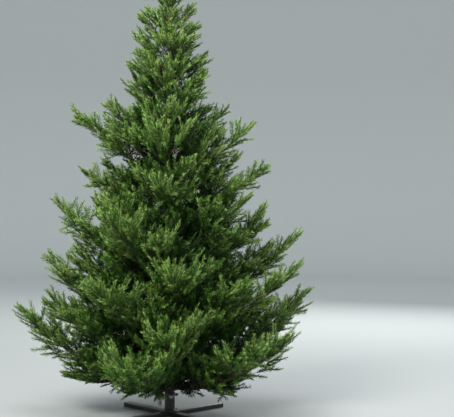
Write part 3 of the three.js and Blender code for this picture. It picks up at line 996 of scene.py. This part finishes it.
def socket_parts():
    """The pole's tube with a rolled rim, welded to a round flange."""
    parts = MeshParts()
    foot = BAR_HEIGHT + GAP
    top = foot + FLANGE_HEIGHT
    profile = [(SOCKET_INNER, foot)]
    profile += from_corner(FLANGE_FOOT, SOCKET_FLANGE, foot)
    profile += from_corner(FLANGE_EDGE, SOCKET_FLANGE, top)
    profile += from_corner(WELD_BEAD, SOCKET_OUTER, top)
    profile += from_corner(ROLLED_RIM, SOCKET_OUTER, SOCKET_TOP)
    profile.append((SOCKET_INNER, SOCKET_TOP - RIM_DROP))
    points, faces = turned(profile, SOCKET_SIDES, closed=True)
    angle = np.arctan2(points[:, 1], points[:, 0])
    bead = (points[:, 2] > top) & (points[:, 2] < top + WELD_HEIGHT)
    points[bead, :2] *= 1 + WELD_RIPPLE * np.sin(WELD_RIPPLES * angle[bead])[:, None]
    parts.add(points, faces)
    return parts


def wing():
    """A wing screw's head: two round ears on a hub, rounded at the rim."""
    angles = np.arange(WING_SIDES) * 2 * math.pi / WING_SIDES
    width = np.abs(np.cos(angles))
    reach = lerp(WING_WAIST, 1, width ** WING_EAR_POWER)
    outline = np.column_stack([np.cos(angles) * reach * WING_ACROSS / 2, np.sin(angles) * WING_TALL / 2])
    outline[:, 1] += WING_EAR_RISE * WING_TALL * width ** 3
    return lofted([(place * WING_THICK, outline * size) for place, size in WING_STEPS])


def fastener_parts():
    """Four bolts hold the flange on the bars, and three wing screws hold the pole in the socket."""
    parts = MeshParts()
    base = BAR_HEIGHT + GAP + FLANGE_HEIGHT
    for arm in range(ARMS):
        turn = math.radians(BAR_TURN + 90 * arm)
        for profile, sides in ((WASHER, WASHER_SIDES), (BOLT_HEAD, BOLT_SIDES)):
            points, faces = turned([(r * BOLT_RADIUS, h * BOLT_HEIGHT) for r, h in profile], sides)
            parts.add(placed(points, turn, (BOLT_PLACE, 0, base)), faces)
    start = (SOCKET_INNER + SOCKET_OUTER) / 2
    sections = []
    for i, x in enumerate(np.arange(0.0, SCREW_LENGTH, SCREW_PITCH / 2)):
        radius = SCREW_RADIUS * (1.0 if i % 2 else SCREW_CORE)
        sections.append((start + x, round_section(radius, SCREW_SIDES)))
    for k in range(SCREWS):
        turn = math.radians(BAR_TURN + k * 360 / SCREWS)
        points, faces = lofted(sections)
        parts.add(placed(points, turn, (0, 0, SCREW_HEIGHT)), faces)
        points, faces = wing()
        parts.add(placed(points, turn, (start + SCREW_LENGTH, 0, SCREW_HEIGHT)), faces)
    return parts


# The hooks that hold the boughs on the collars
HOOK_WIDTH = 0.011
HOOK_HEIGHT = 0.020
HOOK_LENGTH = 0.022
HOOK_CORNER = 0.002
# A hook's sections: how far out from the collar, and what share of its full section.
HOOK_STEPS = [(-0.0006, 0.92), (0.0004, 1.0), (0.7 * HOOK_LENGTH, 1.0), (HOOK_LENGTH, 0.72)]
PIN_PLACE = 0.45 * HOOK_LENGTH
PIN_RADIUS = 0.0022
PIN_LENGTH = 0.016
PIN_SIDES = 10


def hook_parts(boughs):
    """A folded steel hook round each bough's root, with a pin across it."""
    parts = MeshParts()
    section = rounded_section(HOOK_WIDTH, HOOK_HEIGHT, HOOK_CORNER)
    pin_end = round_section(PIN_RADIUS, PIN_SIDES)
    for bough in boughs:
        if isinstance(bough, Leader):
            continue
        root = pole_radius(bough.height) + COLLAR_PROUD
        points, faces = lofted([(root + out, scaled(section, share)) for out, share in HOOK_STEPS])
        parts.add(placed(points, bough.azimuth, (0, 0, bough.height)), faces)
        points, faces = lofted([(-PIN_LENGTH / 2, pin_end), (PIN_LENGTH / 2, pin_end)])
        points = placed(points, math.pi / 2)
        parts.add(placed(points, bough.azimuth, (root + PIN_PLACE, 0, bough.height)), faces)
    return parts


# The pieces, each of which rides on the one body
def dress(piece):
    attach(piece, "root")


def make_needles(rows, masses):
    """The needles, each tint apart, in place of the masses of foliage."""
    kites, light = needle_kites(rows)
    # Each needle takes the tint of its lightness, which carries the painted light and shade.
    tint_of = np.searchsorted(np.quantile(light, TINT_SHARES), light)
    for index, name in enumerate(TINTS):
        material = needle_material(f"needles_{name}", TINTS[name])
        chosen = kites[tint_of == index]
        count = math.ceil(len(chosen) / PIECE_NEEDLES)
        for number, part in enumerate(np.array_split(chosen, count)):
            faces = needle_faces(len(part))
            needles = mesh_object(f"needles_{name}_{number + 1}", part.reshape(-1, 3), faces, material)
            dress(needles)
    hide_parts(*masses)


def make_wood(crown, rows, limbs):
    """The fingers' stems, the twigs, the boughs and the pole, in place of the trunk and the limbs."""
    tape = tape_material()
    points, faces = stem_mesh(rows)
    stems = mesh_object("finger_stems", points, faces, green_twig_material(), smooth=True)
    branchlets = crown.twigs.to_object("branchlets", tape, smooth=True)
    boughs = crown.limbs.to_object("boughs", tape, smooth=True)
    pole = pole_parts().to_object("pole", tape)
    dress(stems)
    dress(branchlets)
    dress(boughs)
    dress(pole)
    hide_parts(*limbs)
    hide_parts("trunk")


def make_metal(boughs):
    """The collars and hooks on the pole, and the stand."""
    paint = paint_material()
    collars = collar_parts().to_object("collars", paint)
    hooks = hook_parts(boughs).to_object("bough_hooks", paint)
    bars = bar_parts().to_object("stand_bars", paint)
    caps = cap_parts().to_object("stand_end_caps", plastic_material())
    socket = socket_parts().to_object("stand_tube", paint)
    fasteners = fastener_parts().to_object("stand_fasteners", steel_material())
    for piece in (collars, hooks, bars, caps, socket, fasteners):
        dress(piece)
    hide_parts("stand_bar_lower", "stand_bar_upper")
    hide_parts("stand_socket")


def make_tree():
    nodes = list(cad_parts)
    crown = Crown()
    rows = np.array(crown.fingers)
    make_needles(rows, sorted(n for n in nodes if n.startswith("foliage_")))
    make_wood(crown, rows, sorted(n for n in nodes if n.startswith("bough_")))
    make_metal(crown.boughs)


def make_camera():
    data = bpy.data.cameras.new("camera")
    data.lens = CAMERA_LENS
    data.sensor_width = CAMERA_SENSOR
    camera = bpy.data.objects.new("camera", data)
    camera.location = (0.0, -CAMERA_DISTANCE, CAMERA_HEIGHT)
    camera.rotation_euler = (math.radians(90 - CAMERA_TILT), 0.0, math.radians(-CAMERA_TURN))
    bpy.context.scene.collection.objects.link(camera)
    bpy.context.scene.camera = camera


# The studio: a round floor that turns up into a pale wall on every side. Its paint grows lighter away from
# the middle, where less light falls.
FLOOR_RADIUS = 8.0
FLOOR_RINGS = (0.001, 2.0, 5.0)
SWEEP_RADIUS = 2.5
SWEEP_STEPS = 12
WALL_TOP = 7.0
STUDIO_SIDES = 96
PAINT_START = 1.0
NEAR_PAINT = (0.195, 0.211, 0.215)
FAR_PAINT = (0.370, 0.398, 0.405)
SKY_COLOUR = (0.80, 0.84, 0.86)
SKY_STRENGTH = 1.15
# Each light: its name, its place, the point it faces, its side, its watts and its colour.
LIGHTS = [
    ("key", (-2.4, -3.6, 4.4), (0, 0, 1.3), 2.4, 720, (1.0, 0.97, 0.90)),
    ("fill", (3.4, -3.2, 2.4), (0, 0, 1.3), 2.5, 90, (0.95, 0.98, 1.0)),
    ("top", (0.2, -0.6, 4.6), (0, 0, 1.5), 2.5, 210, (1.0, 1.0, 1.0)),
    ("back", (1.8, 3.8, 2.8), (0, 0, 0.9), 2.4, 230, (1.0, 0.99, 0.96)),
]


def studio_material():
    material, shader = new_material("studio", roughness=0.8, specular=0.1)
    tree = material.node_tree
    place = tree.nodes.new("ShaderNodeTexCoord")
    distance = tree.nodes.new("ShaderNodeVectorMath")
    distance.operation = "LENGTH"
    share = tree.nodes.new("ShaderNodeMapRange")
    share.interpolation_type = "SMOOTHSTEP"
    share.inputs["From Min"].default_value = PAINT_START
    share.inputs["From Max"].default_value = FLOOR_RADIUS
    ramp = tree.nodes.new("ShaderNodeValToRGB")
    ramp.color_ramp.elements[0].color = (*NEAR_PAINT, 1)
    ramp.color_ramp.elements[1].color = (*FAR_PAINT, 1)
    tree.links.new(place.outputs["Object"], distance.inputs["Vector"])
    tree.links.new(distance.outputs["Value"], share.inputs["Value"])
    tree.links.new(share.outputs["Result"], ramp.inputs["Fac"])
    tree.links.new(ramp.outputs["Color"], shader.inputs["Base Color"])
    return material


def make_light(name, place, target, size, power, colour):
    data = bpy.data.lights.new(name, "AREA")
    data.shape = "SQUARE"
    data.size = size
    data.energy = power
    data.color = colour
    light = bpy.data.objects.new(name, data)
    light.location = place
    light.rotation_euler = (Vector(target) - Vector(place)).to_track_quat("-Z", "Y").to_euler()
    bpy.context.scene.collection.objects.link(light)


def make_studio():
    profile = [(radius, 0.0) for radius in FLOOR_RINGS]
    for step in range(SWEEP_STEPS + 1):
        angle = step * math.pi / 2 / SWEEP_STEPS
        profile.append((FLOOR_RADIUS + SWEEP_RADIUS * math.sin(angle), SWEEP_RADIUS * (1 - math.cos(angle))))
    profile.append((FLOOR_RADIUS + SWEEP_RADIUS, WALL_TOP))
    points, faces = turned(profile, STUDIO_SIDES)
    studio = mesh_object("studio_floor", points, faces, studio_material(), smooth=True)
    world = bpy.data.worlds.new("studio")
    world.use_nodes = True
    world.node_tree.nodes["Background"].inputs["Color"].default_value = (*SKY_COLOUR, 1)
    world.node_tree.nodes["Background"].inputs["Strength"].default_value = SKY_STRENGTH
    bpy.context.scene.world = world
    for light in LIGHTS:
        make_light(*light)
    bpy.context.scene.view_settings.view_transform = "Standard"


make_tree()
make_camera()
make_studio()
